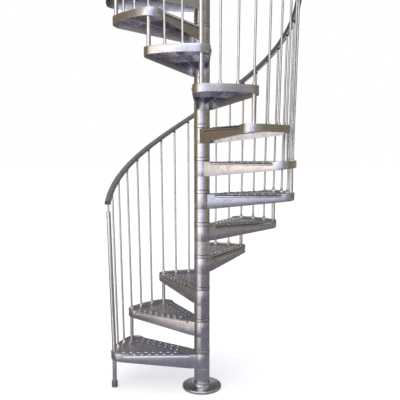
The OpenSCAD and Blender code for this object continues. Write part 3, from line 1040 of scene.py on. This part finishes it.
def railSection(width, height):
    w, q, lip = width / 2, width * rail["crown"], rail["lip"]
    points = arcPoints(w - lip, lip, lip, -90, 0, rail["lipSteps"])
    points += arcPoints(w - q, height - q, q, 0, 90, rail["crownSteps"])
    points += arcPoints(q - w, height - q, q, 90, 180, rail["crownSteps"])
    points += arcPoints(lip - w, lip, lip, 180, 270, rail["lipSteps"])
    return points


def stripSection(slack=0.0):
    x, y = rail["strip"] / 2 + slack, rail["stripHeight"] + slack
    return [(-x, 0.0), (-x, y), (x, y), (x, 0.0)]


over, capTurn = [degrees(length / helixRadius) for length in (stair["railOver"], rail["cap"])]
bottom, top = -over, stair["treads"] * stair["turn"] + over
section = railSection(rail["width"], rail["height"]) + stripSection(rail["stripSlack"])
cover = helixBar(section, bottom, top, rail["ringsPerTurn"])
addPiece("rail_cover", cover, railPlastic, "handrail")
strip = helixBar(stripSection()[::-1], bottom, top, rail["ringsPerTurn"])
addPiece("rail_strip", strip, stripSteel, "handrail_strip")
section = railSection(rail["width"] + 2 * rail["capProud"], rail["height"] + rail["capProud"])
caps = [helixBar(section, start, start + capTurn, rail["capRings"]) for start in (bottom - capTurn, top)]
addPiece("rail_caps", joinMeshes(caps), railPlastic, "handrail_caps")
print("handrail made")

# the inner pole hardly shows: only its material changes
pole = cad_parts["centre_pole"]
pole.data.materials.clear()
pole.data.materials.append(columnZinc)

# a pale floor that keeps the stair's shadow, in soft light
studio = {
    "floorRadius": 60, "floorSides": 96, "floorColour": (0.9, 0.9, 0.9),
    "floorRoughness": 0.95, "floorSheen": 0.05,
    "floorGlow": 0.45,  # where it is seen; it lights nothing
    "sky": ((0.93, 0.95, 1.0), 0.7),  # colour and strength of the light that falls
    "white": ((1.0, 1.0, 1.0), 1.0),  # and of what is seen round the floor
}
# name, place, target, size, watts and colour
lamps = (
    ("softLeft", (-3.2, -3.7, 2.3), (0, 0, 1.5), (3.4, 4.4), 44, (1.0, 0.955, 0.885)),
    ("softTop", (0.4, -0.6, 6.8), (0, 0, 0), (3.5, 3.5), 42, (1, 1, 1)),
    ("frontTop", (0.0, -4.6, 5.2), (0, 0, 1.4), (4.6, 1.7), 24, (0.96, 0.97, 1.0)),
)
view = {"aside": 0.017, "distance": 3.499, "height": 1.552, "tilt": -3.5, "pan": -0.48, "lens": 48.75,
        "sensor": 36, "shiftY": -0.0375}


def seenDirectly(tree):
    # 1 for what the camera, a mirror or glass sees, 0 for the light that falls on things
    path = addNode(tree, "LightPath").outputs
    seen = path["Is Camera Ray"]
    for kind in ("Is Glossy Ray", "Is Transmission Ray"):
        seen = addNode(tree, "Math", {0: seen, 1: path[kind]}, operation="MAXIMUM").outputs[0]
    return seen


def makeFloor():
    bm = bmesh.new()
    bmesh.ops.create_circle(bm, cap_ends=True, radius=studio["floorRadius"], segments=studio["floorSides"])
    mesh = bareMesh(bm)
    material, tree, shader = newMaterial("palePaper")
    glow = addNode(tree, "Math", {0: seenDirectly(tree), 1: studio["floorGlow"]}, operation="MULTIPLY")
    setInputs(tree, shader, {
        "Base Color": opaque(studio["floorColour"]), "Roughness": studio["floorRoughness"],
        "Specular IOR Level": studio["floorSheen"], "Emission Color": (1, 1, 1, 1),
        "Emission Strength": glow.outputs[0]})
    mesh.materials.append(material)
    newObject("paleFloor", mesh)


def makeWorld():
    world = bpy.data.worlds.new("softStudio")
    bpy.context.scene.world = world
    world.use_nodes = True
    tree = world.node_tree
    tree.nodes.clear()
    sky, white = [addNode(tree, "Background", {"Color": opaque(colour), "Strength": strength}).outputs[0]
                  for colour, strength in (studio["sky"], studio["white"])]
    mixed = addNode(tree, "MixShader", {0: seenDirectly(tree), 1: sky, 2: white})
    addNode(tree, "OutputWorld", {0: mixed.outputs[0]})


# cloth screens round the set, out of the camera's sight: they only give the metal something to mirror
screens = {
    "radius": 5.5,
    "floorHeight": 0.004,
    "wallSteps": 12, "floorSteps": 48,
    # name, from and to in degrees from +X, foot, top, colour
    "walls": (
        ("backLow", 58, 122, 0.02, 1.62, (0.62, 0.63, 0.69)),
        ("back", 58, 122, 1.62, 7.6, (0.14, 0.13, 0.125)),
        ("leftBack", 123, 198, 0.02, 5.6, (0.295, 0.225, 0.14)),
        ("leftWarm", 199, 226, 0.02, 5.6, (1.04, 0.94, 0.76)),
        ("front", 248, 274, 0.02, 5.6, (1.18, 1.28, 1.55)),
        ("frontGrey", 274, 291, 0.02, 5.6, (0.92, 0.91, 0.95)),
        ("frontRight", 291, 320, 0.02, 5.6, (0.42, 0.41, 0.42)),
        ("right", 320, 337, 0.02, 5.6, (0.43, 0.405, 0.34)),
        ("rightBack", 337, 417, 0.02, 5.6, (0.27, 0.24, 0.155)),
    ),
    # name, from and to in degrees, inner and outer radius, colour
    "floors": (
        ("floorNear", 0, 360, 0.13, 0.9, (0.28, 0.27, 0.335)),
        ("floorLeft", 200, 256, 0.9, 5.0, (1.0, 0.94, 0.86)),
        ("floorRest", 256, 560, 0.9, 5.0, (0.215, 0.2, 0.235)),
    ),
}


def makeScreen(name, start, stop, steps, edges, colour):
    # spans its two edges, each a radius and a height
    bm = bmesh.new()
    rows = [[bm.verts.new((x, y, z)) for x, y in arcPoints(0, 0, radius, start, stop, steps)]
            for radius, z in edges]
    bridge(bm, *rows, closed=False)
    mesh = bareMesh(bm)
    material, tree, light = newMaterial(name + "Cloth", "Emission")
    setInputs(tree, light, {"Color": opaque(colour), "Strength": 1.0})
    mesh.materials.append(material)
    screen = newObject(name + "Screen", mesh)
    screen.visible_camera = False
    screen.visible_diffuse = False
    screen.visible_shadow = False


def makeScreens():
    radius, z = screens["radius"], screens["floorHeight"]
    for name, start, stop, low, high, colour in screens["walls"]:
        makeScreen(name, start, stop, screens["wallSteps"], ((radius, low), (radius, high)), colour)
    for name, start, stop, near, far, colour in screens["floors"]:
        makeScreen(name, start, stop, screens["floorSteps"], ((near, z), (far, z)), colour)


def areaLamp(name, place, target, size, power, colour):
    data = bpy.data.lights.new(name, "AREA")
    data.shape = "RECTANGLE"
    data.size, data.size_y = size
    data.energy = power
    data.color = colour
    lamp = newObject(name, data)
    lamp.location = place
    lamp.rotation_euler = (Vector(target) - Vector(place)).to_track_quat("-Z", "Y").to_euler()


def makeCamera():
    data = bpy.data.cameras.new("standingView")
    data.lens = view["lens"]
    data.sensor_width = view["sensor"]
    data.shift_y = view["shiftY"]
    camera = newObject("standingView", data)
    camera.location = (view["aside"], -view["distance"], view["height"])
    camera.rotation_euler = (radians(90 + view["tilt"]), 0, radians(-view["pan"]))
    bpy.context.scene.camera = camera


makeFloor()
makeWorld()
makeScreens()
for lamp in lamps:
    areaLamp(*lamp)
makeCamera()
bpy.context.scene.view_settings.view_transform = "Standard"
print("stage made")
